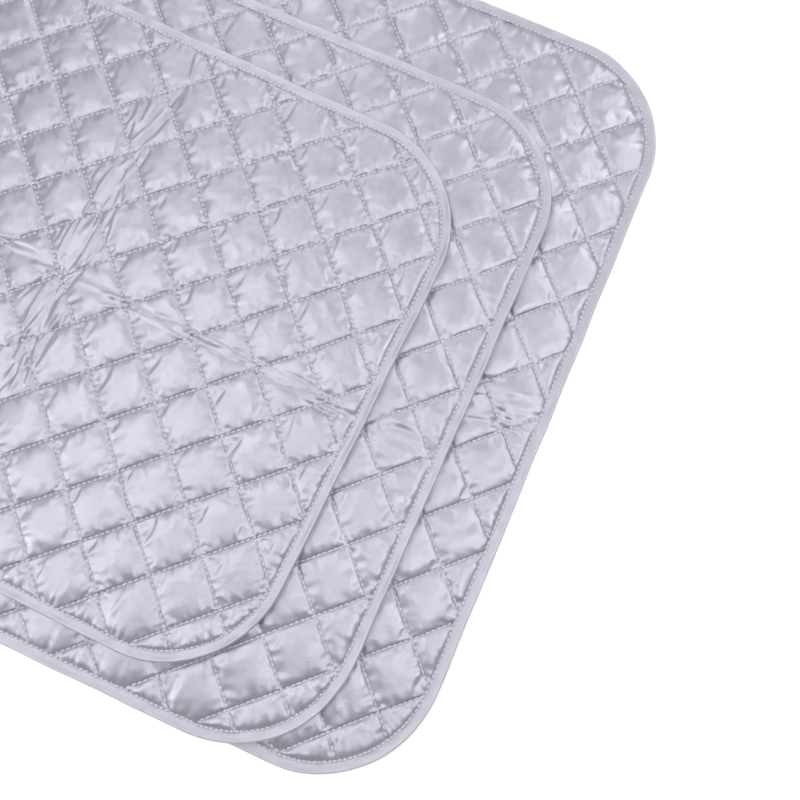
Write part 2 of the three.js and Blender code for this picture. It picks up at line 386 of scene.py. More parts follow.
def edge_path(pad, count):
    """Evenly spaced points round a pad's outline, counter-clockwise, and their outward directions.

    Each corner is a quarter circle; the straight edges are the gaps between them. Returns also each
    point's distance along the outline and the outline's whole length.
    """
    steps = 48
    heading = (np.arange(4)[:, None] + np.linspace(0, 1, steps)[None]) * np.pi / 2
    signs = np.array([(1, 1), (-1, 1), (-1, -1), (1, -1)])
    centres = signs * (np.array([pad.length, pad.width]) / 2 - pad.corner)
    heading = heading.ravel()
    points = np.repeat(centres, steps, 0) + pad.corner * np.c_[np.cos(heading), np.sin(heading)]
    points = np.vstack([points, points[:1]])
    heading = np.append(heading, 2 * np.pi)
    run = np.append(0, np.cumsum(np.linalg.norm(np.diff(points, axis=0), axis=1)))
    at = np.arange(count) / count * run[-1]
    theta = np.interp(at, run, heading)
    place = np.c_[np.interp(at, run, points[:, 0]), np.interp(at, run, points[:, 1])]
    return place, np.c_[np.cos(theta), np.sin(theta)], at, run[-1]


# The quilted face


def stitched_swatch(sizes):
    """Heights and shifts of quilted cloth over a swatch of squares: squares x points x points x 3.

    A flat grid of cloth is held along its stitch lines, given a little slack, more beside the
    lines and less where they cross, and blown up from below with Blender's cloth until it puckers.
    """
    rough_height, rough_reach, rounds = 0.0003, 0.006, 14
    crown_height, crown_reach = 0.001, 0.004
    even_slack, seam_slack, seam_reach = 0.011, 0.004, 0.002
    crossing_reach, crossing_share = 0.006, 0.2
    n, side, count = SWATCH_POINTS, sizes.quilt_side, SWATCH_SQUARES
    index = np.arange(n * count + 1)
    a, b = np.meshgrid(index, index, indexing="ij")
    u, v = (a % n) / n * side, (b % n) / n * side
    held = (a % n == 0) | (b % n == 0)
    from_u, from_v = np.minimum(u, side - u), np.minimum(v, side - v)
    near = np.minimum(from_u, from_v)
    rough = np.random.default_rng(CLOTH_SEED).normal(size=a.shape)
    for _ in range(rounds):
        rough = (rough + np.roll(rough, 1, 0) + np.roll(rough, -1, 0)
                 + np.roll(rough, 1, 1) + np.roll(rough, -1, 1)) / 5
    height = rough_height * rough / rough.std() * ramp(near, rough_reach)
    height += crown_height * (1 - falling(near, crown_reach))
    height[held] = 0
    slack = even_slack + seam_slack * falling(near, seam_reach)
    slack = slack * np.clip(np.hypot(from_u, from_v) / crossing_reach, crossing_share, 1)
    flat = np.dstack([a * side / n, b * side / n, np.zeros_like(u)])
    moved = blown_cloth(flat, height, held, slack)
    shift = moved - flat
    return np.array([shift[i * n:(i + 1) * n + 1, j * n:(j + 1) * n + 1]
                     for i in range(count) for j in range(count)])


def resampled(squares, points):
    """The swatch's squares on a finer grid, along smooth cubics through the simulated points."""
    n = squares.shape[1] - 1
    at = n * spread(np.arange(points + 1), points)
    cell = np.minimum(at.astype(int), n - 1)
    t = at - cell
    weights = np.stack([-t + 2 * t ** 2 - t ** 3, 2 - 5 * t ** 2 + 3 * t ** 3,
                        t + 4 * t ** 2 - 3 * t ** 3, -t ** 2 + t ** 3], -1) / 2
    ends = np.clip(cell[:, None] + np.arange(-1, 3), 0, n)
    matrix = np.zeros((points + 1, n + 1))
    np.add.at(matrix, (np.arange(points + 1)[:, None], ends), weights)
    return np.einsum("pa,kabc,qb->kpqc", matrix, squares, matrix)


def blown_cloth(flat, height, held, slack):
    """Runs Blender's cloth on a grid and gives back where its points end."""
    shape = flat.shape[:2]
    points = flat + height[..., None] * np.array([0, 0, 1])
    swatch = mesh_object("cloth_swatch", points.reshape(-1, 3), [grid_faces(*shape)])
    pins = swatch.vertex_groups.new(name="pins")
    pins.add(np.flatnonzero(held).tolist(), 1.0, "REPLACE")
    most = slack.max()
    slack_group = swatch.vertex_groups.new(name="slack")
    levels = np.round((1 - slack / most) * 100).astype(int).ravel()
    for level in np.unique(levels):
        slack_group.add(np.flatnonzero(levels == level).tolist(), level / 100, "REPLACE")
    cloth = swatch.modifiers.new("cloth", "CLOTH")
    settings = cloth.settings
    settings.quality = 5
    settings.mass = 0.3
    settings.tension_stiffness = settings.compression_stiffness = settings.shear_stiffness = 15
    settings.tension_damping = settings.compression_damping = settings.shear_damping = 5
    settings.bending_stiffness = 20
    settings.bending_damping = 0.5
    settings.air_damping = 1
    settings.vertex_group_mass = "pins"
    settings.vertex_group_shrink = "slack"
    settings.shrink_min = -most
    settings.shrink_max = 0
    settings.use_pressure = True
    settings.uniform_pressure_force = 80
    settings.effector_weights.gravity = 0
    cloth.collision_settings.use_collision = False
    cloth.point_cache.frame_start = 1
    cloth.point_cache.frame_end = SWATCH_FRAMES
    for number in range(1, SWATCH_FRAMES + 1):
        bpy.context.scene.frame_set(number)
    done = swatch.evaluated_get(bpy.context.evaluated_depsgraph_get())
    out = np.empty(points.size)
    done.data.vertices.foreach_get("co", out)
    bpy.context.scene.frame_set(1)
    mesh = swatch.data
    bpy.data.objects.remove(swatch)
    bpy.data.meshes.remove(mesh)
    return out.reshape(points.shape)


def spread(numbers, per_square):
    """Places of grid lines in squares, closer beside the stitch lines: t - c sin(2 pi t) / 2 pi."""
    crowding = 0.45
    t = numbers / per_square
    return t - crowding * np.sin(2 * np.pi * t) / (2 * np.pi)


def lattice_axes(pad):
    """Directions of a pad's stitch lines, each one square long."""
    along = pad.side * np.array([math.cos(pad.quilt_angle), math.sin(pad.quilt_angle)])
    return along, np.array([-along[1], along[0]])


def lattice_grid(pad, per_square, inset):
    """Grid along the stitch lines, kept where whole faces lie inside the outline moved in by inset.

    Point (i, j) lies i and j grid lines from the crossing along the two stitch directions. Returns
    the grid numbers and places of the kept points, and the kept faces.
    """
    along, across = lattice_axes(pad)
    reach = int(math.hypot(pad.length, pad.width) / pad.side) * per_square
    numbers = np.arange(-reach, reach + 1)
    i, j = np.meshgrid(numbers, numbers, indexing="ij")
    a, b = spread(i, per_square)[..., None], spread(j, per_square)[..., None]
    xy = np.array(pad.crossing) + a * along + b * across
    inside = edge_distance(pad, xy)[0] > inset
    whole = inside[:-1, :-1] & inside[1:, :-1] & inside[1:, 1:] & inside[:-1, 1:]
    faces = grid_faces(*i.shape)[whole.ravel()]
    used, faces = np.unique(faces, return_inverse=True)
    return i.ravel()[used], j.ravel()[used], xy.reshape(-1, 2)[used], faces.reshape(-1, 4)


def border_edges(faces, count):
    """Edges of a sheet of faces that only one face uses, in that face's direction."""
    start, end = faces.ravel(), np.roll(faces, -1, axis=1).ravel()
    alone = ~np.isin(start * count + end, end * count + start)
    return start[alone], end[alone]


def drift(pad, xy):
    """Small wander of the sewing: points moved by smooth noise, so no row is ruler straight."""
    grain, most = 0.05, 0.0005
    wander = np.stack([pad.noise(kind, xy, grain) for kind in ("drift_x", "drift_y")], -1)
    return xy + most * wander


def fold_lift(pad, xy):
    """Height of the crumples along a pad's old folds, and how far the folds press the pillows flat.

    Each crumple is a narrow ridge or hollow: a sharp bell across its own line, fading at both
    ends. The lines lie beside the fold, lean a few degrees off it and bend a little.
    """
    end_reach, press_share, most_press = 0.02, 0.55, 0.6
    shortest, tallest, most_bend, margin = 0.006, 0.0016, 6, 0.006
    hollow, lowest, narrowest, widest = -0.8, 0.35, 0.8, 1.3
    sharp, blunt = 1.3, 4
    lift, press = np.zeros(len(xy)), np.zeros(len(xy))
    rng = pad.draws("folds")
    finest = pad.side / pad.per_square
    for fold in pad.folds:
        heading = math.radians(fold.degrees)
        ahead = np.array([math.cos(heading), math.sin(heading)])
        aside = np.array([-ahead[1], ahead[0]])
        run, off = (xy - fold.start) @ ahead, (xy - fold.start) @ aside
        fade = ramp(run + fold.before, end_reach) * ramp(fold.after - run, end_reach)
        pressed = min(press_share * fold.strength, most_press)
        press = np.maximum(press, pressed * fade * bell(off, 2 * fold.spread))
        for _ in range(int((fold.before + fold.after) / fold.spacing)):
            at, beside = rng.uniform(-fold.before, fold.after), rng.normal(0, fold.spread)
            lean = rng.normal(0, math.radians(fold.lean))
            half_length = rng.uniform(shortest, fold.reach)
            half_width = rng.uniform(narrowest, widest) * finest
            tall = rng.choice((hollow, 1.0)) * rng.uniform(lowest, 1.0) * tallest * fold.strength
            bend = rng.uniform(-most_bend, most_bend)
            near = np.abs(run - at) < 1.5 * half_length
            near &= np.abs(off - beside) < 0.6 * half_length + margin
            r, o = run[near] - at, off[near] - beside
            s = r * math.cos(lean) + o * math.sin(lean)
            t = o * math.cos(lean) - r * math.sin(lean) + bend * s ** 2
            lift[near] += tall * bell(t, half_width, sharp) * bell(s, half_length, blunt)
    return lift, press


# Tucks of a square: the corner that they lie round, their share of the pad's tucks, their depth,
# and the smallest and largest radius of their arcs.
TUCKS = (
    ((0, 1), 1.0, 0.0012, (0.0085, 0.0145)),
    ((1, 0), 0.7, 0.0010, (0.0055, 0.0125)),
    ((0, 0), 0.2, 0.0006, (0.006, 0.013)),
    ((1, 1), 0.2, 0.0006, (0.006, 0.013)),
)


def tuck_lift(pad, u, v, at, shape):
    """Height of the tucks where cloth is gathered in the corners of the squares.

    The pillow steps down along an arc round a corner, so the corner lies lower. With r the
    distance to the corner less the arc's radius, in step widths, the step is (tanh(r) - 1) / 2,
    with a narrow hollow at its foot. The arc widens towards its ends.
    """
    leans, openings, widths, faintest = (0.6, 0.97), (0.4, 0.75), (0.0006, 0.0011), 0.3
    widening, foot_depth, foot_place, ends = 0.25, 0.35, 0.6, 4
    lift = np.zeros(len(u))
    rng = pad.draws("tucks")
    for (corner_u, corner_v), share, depth, rings in TUCKS:
        shows = (rng.uniform(size=shape) < share * pad.tucked) * rng.uniform(faintest, 1, shape)
        ring, lean = rng.uniform(*rings, shape), rng.uniform(*leans, shape)
        opening, wide = rng.uniform(*openings, shape), rng.uniform(*widths, shape)
        from_u, from_v = np.abs(u - corner_u * pad.side), np.abs(v - corner_v * pad.side)
        turn = np.arctan2(from_v, from_u) - lean[at]
        r = (np.hypot(from_u, from_v) - ring[at] * (1 + widening * turn ** 2)) / wide[at]
        step = (np.tanh(r) - 1) / 2 - foot_depth * bell(r + foot_place, 1)
        lift += depth * shows[at] * bell(turn, opening[at], ends) * step
    return lift


def row_starts(pad):
    """Where the stitching starts along each quilting line, in stitches, for both directions."""
    return pad.draws("row_starts").uniform(0, 1, (2, CELLS))


def seam_waves(pad, sizes, a, b):
    """For both stitch directions: distance to the nearest line, its number, place along it and wave.

    The wave has the length of one stitch, 1 at the middle of each and -1 at the needle holes.
    """
    starts = row_starts(pad)
    for direction, (along, across) in enumerate(((a, b), (b, a))):
        line = np.round(across).astype(int)
        stitch = along * pad.side / sizes.stitch_pitch - starts[direction, line % CELLS]
        yield np.abs(across - line) * pad.side, line, along * pad.side, -np.cos(2 * np.pi * stitch)


def seam_lift(pad, sizes, a, b):
    """Height beside the stitch lines: a narrow groove, and cloth puffing up between the needle holes.

    The groove is a bell across the line. The puffs are the wave of the stitches and the gathers are
    smooth noise along the line, its own for each side; both swell and die away beside the line.
    """
    groove_width, groove_depth = 0.0008, 0.00035
    puff_reach, puff_height, patch_grain = 0.0013, 0.00015, 0.012
    gather_reach, gather_height, gather_grain = 0.0022, 0.0005, 0.0032
    rows_apart, other_rows = 0.0125, 400
    lift = np.zeros(len(a))
    patches = 0.6 + 0.5 * pad.noise("puff_patches", np.c_[a, b] * pad.side, patch_grain)
    for turn, (d, line, along, wave) in enumerate(seam_waves(pad, sizes, a, b)):
        upper_side = (a if turn else b) > line
        row = (2 * line + upper_side + other_rows * turn) * rows_apart
        gathers = pad.noise("gathers", np.c_[along, row], gather_grain) * swell(d, gather_reach)
        puffs = wave * swell(d, puff_reach) * patches
        lift += puff_height * puffs + gather_height * gathers - groove_depth * bell(d, groove_width)
    return lift


def crinkles(pad, xy):
    """Height of the facets over the pillows: ridges where smooth noise passes zero, at two grains."""
    top, rounding, fine_share = 0.35, 0.01, 0.45
    coarse = pad.noise("coarse_facets", turned(xy, 0.6), 0.011)
    fine = pad.noise("fine_facets", turned(xy, 1.1), 0.0055)
    return pad.crinkle * (ridge(coarse, top, rounding) + fine_share * ridge(fine, top, rounding))


def square_pillows(pad, i, j, swatch):
    """Shifts of face points from the swatch, their places in their squares, and the squares' numbers.

    Every square takes one of the swatch's squares at random, half of them mirrored about a
    diagonal, and fills a little more or less than the next.
    """
    least_full, most_full = 0.85, 1.1
    n, rng = pad.per_square, pad.draws("pillows")
    square_i, square_j = np.floor_divide(i, n), np.floor_divide(j, n)
    low_i, low_j = square_i.min(), square_j.min()
    shape = square_i.max() - low_i + 1, square_j.max() - low_j + 1
    at = square_i - low_i, square_j - low_j
    kind = rng.integers(len(swatch), size=shape)[at]
    flip = (rng.uniform(size=shape) < 0.5)[at]
    full = rng.uniform(least_full, most_full, shape)[at]
    u, v = i - square_i * n, j - square_j * n
    fine = resampled(swatch, n)
    mirrored = fine[kind, n - v, n - u][:, [1, 0, 2]] * [-1, -1, 1]
    shift = np.where(flip[:, None], mirrored, fine[kind, u, v]) * full[:, None]
    return shift, spread(u, n) * pad.side, spread(v, n) * pad.side, at, shape


def face_points(pad, sizes, i, j, xy, swatch):
    """Places of face points: seam height, plus a pillow from the swatch in each square.

    A low plateau fills a square to its corners: one less a falling curve, for its two nearest
    seams, multiplied. The pillows are flattened at the top, with r their height in the most that
    one may rise, to tanh(r). They sink towards the tape, where short pleats run in from its edge,
    and are pressed down along the folds. Under the tape the face lies flat.
    """
    tucked_in, under_tape, lowest, highest = 0.0005, -0.0008, -0.0011, 0.0031
    plateau_share, plateau_reach, detail_rise = 0.28, 0.0024, 0.0015
    bulge, bulge_change, bulge_grain = 0.0018, 0.0010, 0.005
    pleat_height, pleat_start, pleat_rise, pleat_grain = 0.0022, 0.00036, 0.0012, 0.0032
    pleat_reach, reach_change, reach_grain = 0.006, 0.003, 0.008
    fold_rise, fold_least, seam_rise, lip_height, lip_reach = 0.003, 0.1, 0.001, 0.0001, 0.0008
    shift, u, v, at, shape = square_pillows(pad, i, j, swatch)
    from_u, from_v = np.minimum(u, pad.side - u), np.minimum(v, pad.side - v)
    plateau = (1 - falling(from_u, plateau_reach)) * (1 - falling(from_v, plateau_reach))
    most = sizes.pillow_rise
    rise = most * np.tanh(pad.fullness * shift[:, 2] / most + plateau_share * plateau)
    rise = rise + (tuck_lift(pad, u, v, at, shape) + crinkles(pad, xy)) * ramp(rise, detail_rise)

    inwards, outward = edge_distance(pad, xy)
    past_tape = inwards - sizes.tape_width + tucked_in
    on_edge = xy + outward * inwards[:, None]
    ease = 1 - falling(past_tape, bulge + bulge_change * pad.noise("bulge", on_edge, bulge_grain))
    lift, press = fold_lift(pad, xy)
    rise = rise * ease * (1 - press)
    pleats = ridge(pad.noise("pleats", on_edge, pleat_grain), 0.4, 0.005)
    fading = falling(past_tape, pleat_reach + reach_change * pad.noise("pleat_reach", on_edge, reach_grain))
    rise = rise + pleat_height * pleats * ramp(past_tape - pleat_start, pleat_rise) * fading
    rise = rise + lift * np.clip(past_tape / fold_rise, fold_least, 1)
    a, b = spread(i, pad.per_square), spread(j, pad.per_square)
    rise = rise + seam_lift(pad, sizes, a, b) * ramp(past_tape, seam_rise)
    rise = rise + lip_height * falling(past_tape, lip_reach)
    rise = np.clip(np.where(past_tape < 0, under_tape, rise), lowest, highest)

    along, across = lattice_axes(pad)
    flat_shift = (shift[:, :1] * along + shift[:, 1:2] * across) / pad.side * ease[:, None]
    return np.c_[drift(pad, xy) + flat_shift, sizes.seam_height + rise]


def quilted_face(pad, sizes, swatch):
    """Closed padded form: the quilted face, a wall under its border and a flat underside.

    Shade is painted along the seams, most at the needle holes, in a blunt bell across each.
    """
    border, painted_shade_width, blunt, painted_shade_most, painted_shade_change = 0.0026, 0.0009, 4, 0.45, 0.15
    i, j, xy, faces = lattice_grid(pad, pad.per_square, border)
    top = face_points(pad, sizes, i, j, xy, swatch)
    start, end = border_edges(faces, len(top))
    rim = np.unique(start)
    below = np.full(len(top), -1)
    below[rim] = len(top) + np.arange(len(rim))
    floor = top[rim] * [1, 1, 0] + [0, 0, PADDING_FLOOR]
    centre = len(top) + len(rim)
    wall = np.c_[end, start, below[start], below[end]]
    base = np.c_[np.full(len(start), centre), below[end], below[start]]
    points = np.vstack([top, floor, [[0, 0, PADDING_FLOOR]]])
    # Painted shade in the seam grooves, darkest at the needle holes, none under the tape.
    worn = np.zeros(len(top))
    for d, _, _, wave in seam_waves(pad, sizes, spread(i, pad.per_square), spread(j, pad.per_square)):
        worn = np.maximum(worn, bell(d, painted_shade_width, blunt) * (painted_shade_most - painted_shade_change * wave))
    worn = worn * (edge_distance(pad, xy)[0] > sizes.tape_width)
    worn = np.append(worn, np.zeros(len(rim) + 1))
    return set_down(pad, points), [faces, wall, base], None, worn


# Backing, tape and stitches


def backing_sheet(pad, sizes):
    """Thin closed sheet under the pad, drawn up along the stitch lines and flat under each square.

    With d the distance to the nearest stitch line, the cloth rises by a falling curve of d, has a
    slight ripple between the lines, and is lifted over the tape's under face at the edge.
    """
    border, drawn_up, drawn_reach = 0.0027, 0.0008, 0.004
    tape_lift, tape_margin, tape_reach = 0.00062, 0.0005, 0.004
    ripple_height, ripple_grain, ripple_reach = 0.00012, 0.007, 0.003
    n = BACK_PER_SQUARE
    i, j, xy, faces = lattice_grid(pad, n, border)
    u, v = spread(i % n, n) * pad.side, spread(j % n, n) * pad.side
    near = np.minimum(np.minimum(u, pad.side - u), np.minimum(v, pad.side - v))
    past_tape = edge_distance(pad, xy)[0] - sizes.tape_width - tape_margin
    over_tape = eased(np.clip(1 - past_tape / tape_reach, 0, 1))
    ripple = ripple_height * pad.noise("ripple", xy, ripple_grain) * ramp(near, ripple_reach)
    under = np.maximum(drawn_up * falling(near, drawn_reach), tape_lift * over_tape) + np.abs(ripple)
    flat = drift(pad, xy)
    points = np.vstack([np.c_[flat, under], np.c_[flat, under + BACKING_THICKNESS]])
    count = len(flat)
    start, end = border_edges(faces, count)
    rim = np.c_[start, end, end + count, start + count]
    return set_down(pad, points), [faces[:, ::-1], faces + count, rim]


def tape_profile(sizes):
    """Cross-section of the folded tape as inset and height, clockwise with the inset to the right.

    The outer face bends round the pad's edge as an ellipse. From the crest of that roll the top
    falls to the stitch row by the drop times 2t - t^2, with t from 0 at the crest to 1 at the row,
    and dips there into a bell-shaped groove. The inner face lies one tape thickness inside.
    """
    nose, drop, groove, groove_width, tip_reach = 0.0014, 0.0013, 0.0001, 0.0006, 0.0002
    wide, tall, thick = sizes.tape_width, sizes.tape_height, sizes.tape_thickness
    row = wide - TAPE_LIP
    bend = np.linspace(-np.pi / 2, np.pi / 2, 11)
    out, up = np.cos(bend), np.sin(bend)
    edge = np.c_[nose - nose * out, tall / 2 + tall / 2 * up]
    inset = np.linspace(nose, wide, 15)[1:]
    t = np.clip((inset - nose) / (row - nose), 0, 1)
    top = tall - drop * (2 * t - t ** 2) - groove * bell(inset - row, groove_width)
    upper = np.c_[inset, top]
    lower = np.c_[np.linspace(wide, nose, 5)[:-1], np.zeros(4)]
    inner_top = np.c_[inset, top - thick][::-3]
    inner = slice(None, None, -5)
    inner_edge = np.c_[nose - (nose - thick) * out[inner], tall / 2 + (tall / 2 - thick) * up[inner]]
    tip = np.array([[wide + tip_reach, top[-1] - thick / 2]])
    low_tips = np.array([[wide, thick], [wide + tip_reach, thick / 2]])
    return np.vstack([lower, edge, upper, tip, inner_top, inner_edge, low_tips])


def tape_stitch_count(pad):
    """Whole number of binding stitches that goes round a pad's outline."""
    return int(np.round(edge_path(pad, 1)[3] / TAPE_STITCH))


def tape_wander(pad, place, grain=0.03):
    """How the tape's edge strays from its line round the pad, from -1 to 1."""
    return pad.noise("tape_wander", place, grain)


def swept_tape(pad, sizes):
    """Tape profile carried round the outline, wandering slightly and drawn in at each stitch.

    It has two stations to a stitch, at its middle and at the needle hole. Between the crest and the
    row the tape gathers and twists, by smooth noise along it, and it takes part of the folds. Shade
    is painted along the row, at the needle holes between the stitches, and a highlight is painted,
    below zero, along the crest.
    """
    lip_width, lip_height, lip_stray, lip_grain = 0.002, 0.0003, 0.0006, 0.005
    seam_width, seam_height = 0.0015, 0.0002
    centre, centre_width, gather_height, gather_grain = 0.0042, 0.0025, 0.0005, 0.008
    twist_height, twist_grain, fold_share = 0.0005, 0.011, 0.4
    # Sizes of the painted shade along the row and of the painted highlight along the crest.
    painted_shade_width, painted_shade_most, crest_place, crest_width, crest_highlight = 0.0006, 0.3, 0.0012, 0.0007, 0.35
    profile = tape_profile(sizes)
    inset, height = profile[:, 0], profile[:, 1]
    stitches = tape_stitch_count(pad)
    stations = 2 * stitches
    place, out, at, total = edge_path(pad, stations)
    from_row = inset - sizes.tape_width + TAPE_LIP
    upper = np.clip(2 * height / sizes.tape_height - 1, 0, 1)
    on_top = upper > 0
    lip = ramp(from_row + lip_width, lip_width) * on_top
    seam = bell(from_row, seam_width) * on_top
    middle = bell(inset - centre, centre_width) * on_top
    fine = tape_wander(pad, place, lip_grain)[:, None]
    wave = np.cos(2 * np.pi * stitches * at / total)[:, None]
    edge_move = TAPE_STRAY * tape_wander(pad, place)[:, None] - lip_stray * fine * lip
    xy = place[:, None] - out[:, None] * (inset[None] + edge_move)[..., None]
    creases = fold_lift(pad, xy.reshape(-1, 2))[0].reshape(xy.shape[:2])
    gathers = pad.noise("tape_gathers", place, gather_grain)[:, None] * middle
    twist = pad.noise("tape_twist", place, twist_grain)[:, None] * (inset - centre) / centre * upper
    z = height + seam_height * wave * seam + lip_height * fine * lip
    z = z + gather_height * gathers + twist_height * twist + fold_share * creases * upper
    points = np.concatenate([xy, z[..., None]], -1)
    faces = grid_faces(stations + 1, len(inset) + 1, wrap=True)
    steps = np.append(0, np.cumsum(np.linalg.norm(np.diff(profile, axis=0), axis=1)))
    along, across = np.meshgrid(at, steps, indexing="ij")
    # Painted shade at the needle holes between the stitches along the row.
    worn = bell(from_row, painted_shade_width) * on_top * painted_shade_most * (1 - wave)
    # Painted highlight, below zero, along the crest of the roll.
    worn = worn - crest_highlight * bell(inset - crest_place, crest_width) * (upper > 0.5)
    return set_down(pad, points.reshape(-1, 3)), [faces], np.c_[along.ravel(), across.ravel()], worn.ravel()


def bead(around, rings):
    """Shape of one stitch: a spindle along x with rounded ends, from -1 to 1 on each axis.

    Points lie on rings where x is the cosine and the radius is the root of the sine of an even
    turn from end to end, closed by one point at each end.
    """
    t = np.linspace(0, np.pi, rings + 2)[1:-1]
    turn = np.arange(around) / around * 2 * np.pi + np.pi / 2
    radius = np.sqrt(np.sin(t))
    x = -np.repeat(np.cos(t), around)
    ring = np.c_[x, np.outer(radius, np.cos(turn)).ravel(), np.outer(radius, np.sin(turn)).ravel()]
    points = np.vstack([ring, [[-1, 0, 0], [1, 0, 0]]])
    k = np.arange(around)
    m = (k + 1) % around
    rows = np.arange(rings - 1)[:, None] * around
    quads = np.stack([rows + k, rows + m, rows + around + m, rows + around + k], -1).reshape(-1, 4)
    first, last = len(ring), len(ring) + 1
    tip = (rings - 1) * around
    ends = np.vstack([np.c_[m, k, np.full(around, first)], np.c_[k + tip, m + tip, np.full(around, last)]])
    uv = np.c_[points[:, 0], np.r_[np.tile(k / around, rings), 0, 0]]
    return points, quads, ends, uv


def stitch_run(centres, heading, half, around, rings, dive):
    """Copies of one bead at many places, each turned to its heading and scaled to its half sizes.

    The ends of each bead sink by the dive times the square of the place along it.
    """
    shape, quads, ends, uv = bead(around, rings)
    body = shape[None] * half[:, None, :]
    sunk = dive * shape[None, :, 0] ** 2
    c, s = np.cos(heading)[:, None], np.sin(heading)[:, None]
    x = centres[:, None, 0] + c * body[..., 0] - s * body[..., 1]
    y = centres[:, None, 1] + s * body[..., 0] + c * body[..., 1]
    z = centres[:, None, 2] + body[..., 2] - sunk
    step = np.arange(len(centres))[:, None, None] * len(shape)
    points = np.stack([x, y, z], -1).reshape(-1, 3)
    coords = np.tile(uv, (len(centres), 1)) * [half[:, 0].mean(), 2 * np.pi * half[:, 1].mean()]
    return points, [(quads[None] + step).reshape(-1, 4), (ends[None] + step).reshape(-1, 3)], coords


def quilting_rows(pad, sizes):
    """Places and headings of the quilting stitches: even steps along every line of both directions.

    Each stitch lies a little aslant, as a lockstitch does.
    """
    margin, slant, slant_change = 0.0008, math.radians(9), 0.06
    along, across = lattice_axes(pad)
    reach = int(math.hypot(pad.length, pad.width) / pad.side) + 1
    steps = int(reach * pad.side / sizes.stitch_pitch)
    lines, numbers = np.meshgrid(np.arange(-reach, reach + 1), np.arange(-steps, steps + 1), indexing="ij")
    found, headings = [], []
    ways = ((along, across, 0), (across, along, math.pi / 2))
    for (forward, aside, turn), starts in zip(ways, row_starts(pad)):
        run = (numbers + 0.5 + starts[lines % CELLS]) * sizes.stitch_pitch / pad.side
        xy = np.array(pad.crossing) + run[..., None] * forward + lines[..., None] * aside
        found.append(xy.reshape(-1, 2))
        headings.append(np.full(xy[..., 0].size, pad.quilt_angle + turn))
    xy, heading = np.vstack(found), np.concatenate(headings)
    shows = edge_distance(pad, xy)[0] > sizes.tape_width + margin
    slants = pad.draws("stitch_turns").normal(slant, slant_change, shows.sum())
    return xy[shows], heading[shows] + slants


def face_stitches(pad, sizes):
    """Quilting stitches on the face: light spindles lying in the seams, which follow the creases."""
    half_height, sunk, lowest, highest, dive = 0.0006, 0.0001, -0.0006, 0.0025, 0.0003
    xy, heading = quilting_rows(pad, sizes)
    rng = pad.draws("stitch_sizes")
    z = sizes.seam_height + np.clip(fold_lift(pad, xy)[0], lowest, highest) - sunk
    half = np.c_[sizes.stitch_length / 2 * rng.uniform(0.92, 1.08, len(xy)),
                 sizes.thread_width / 2 * rng.uniform(0.9, 1.1, len(xy)),
                 np.full(len(xy), half_height)]
    points, faces, uv = stitch_run(np.c_[drift(pad, xy), z], heading, half, 5, 3, dive)
    return set_down(pad, points), faces, uv


def back_stitches(pad, sizes):
    """Quilting stitches on the underside, lying in the drawn-up rows of the backing."""
    height, half_height, narrowing, dive = 0.00062, 0.0003, 2.4, -0.00015
    xy, heading = quilting_rows(pad, sizes)
    half = np.tile([sizes.stitch_length / 2, sizes.thread_width / narrowing, half_height], (len(xy), 1))
    centres = np.c_[drift(pad, xy), np.full(len(xy), height)]
    points, faces, uv = stitch_run(centres, heading, half, 3, 2, dive)
    return set_down(pad, points), faces, uv


def tape_stitches(pad, sizes):
    """Lockstitches along the inner edge of the tape, on its upper and its under face."""
    half_sizes, unevenness = (0.0015, 0.0008, 0.0005), 0.06
    below_crest, upper_dive = 0.0011, 0.0002
    low_height, low_dive, flatter = 0.00012, -0.00005, (1, 1, 0.5)
    count = tape_stitch_count(pad)
    place, out, _, _ = edge_path(pad, count)
    inset = sizes.tape_width - TAPE_LIP + TAPE_STRAY * tape_wander(pad, place)
    xy = place - out * inset[:, None]
    turns = pad.draws("tape_stitch_turns").normal(0, unevenness, count)
    heading = np.arctan2(out[:, 1], out[:, 0]) + np.pi / 2 + turns
    half = np.tile(half_sizes, (count, 1))
    high = np.c_[xy, np.full(count, sizes.tape_height - below_crest)]
    low = np.c_[xy, np.full(count, low_height)]
    upper = stitch_run(high, heading, half, 5, 3, upper_dive)
    lower = stitch_run(low, heading, half * flatter, 5, 3, low_dive)
    shifted = [f + len(upper[0]) for f in lower[1]]
    points = np.vstack([upper[0], lower[0]])
    return set_down(pad, points), [*upper[1], *shifted], np.vstack([upper[2], lower[2]])


# Meshes


def grid_faces(rows, columns, wrap=False):
    """Four-sided faces of a grid of points numbered row by row.

    A wrapped grid joins its last row to its first and its last column to its first.
    """
    if wrap:
        rows, columns = rows - 1, columns - 1
        r, c = np.meshgrid(np.arange(rows), np.arange(columns), indexing="ij")
        r2, c2 = (r + 1) % rows, (c + 1) % columns
        corners = (r * columns + c, r2 * columns + c, r2 * columns + c2, r * columns + c2)
        return np.stack(corners, -1).reshape(-1, 4)
    number = np.arange(rows * columns).reshape(rows, columns)
    corners = (number[:-1, :-1], number[1:, :-1], number[1:, 1:], number[:-1, 1:])
    return np.stack(corners, -1).reshape(-1, 4)


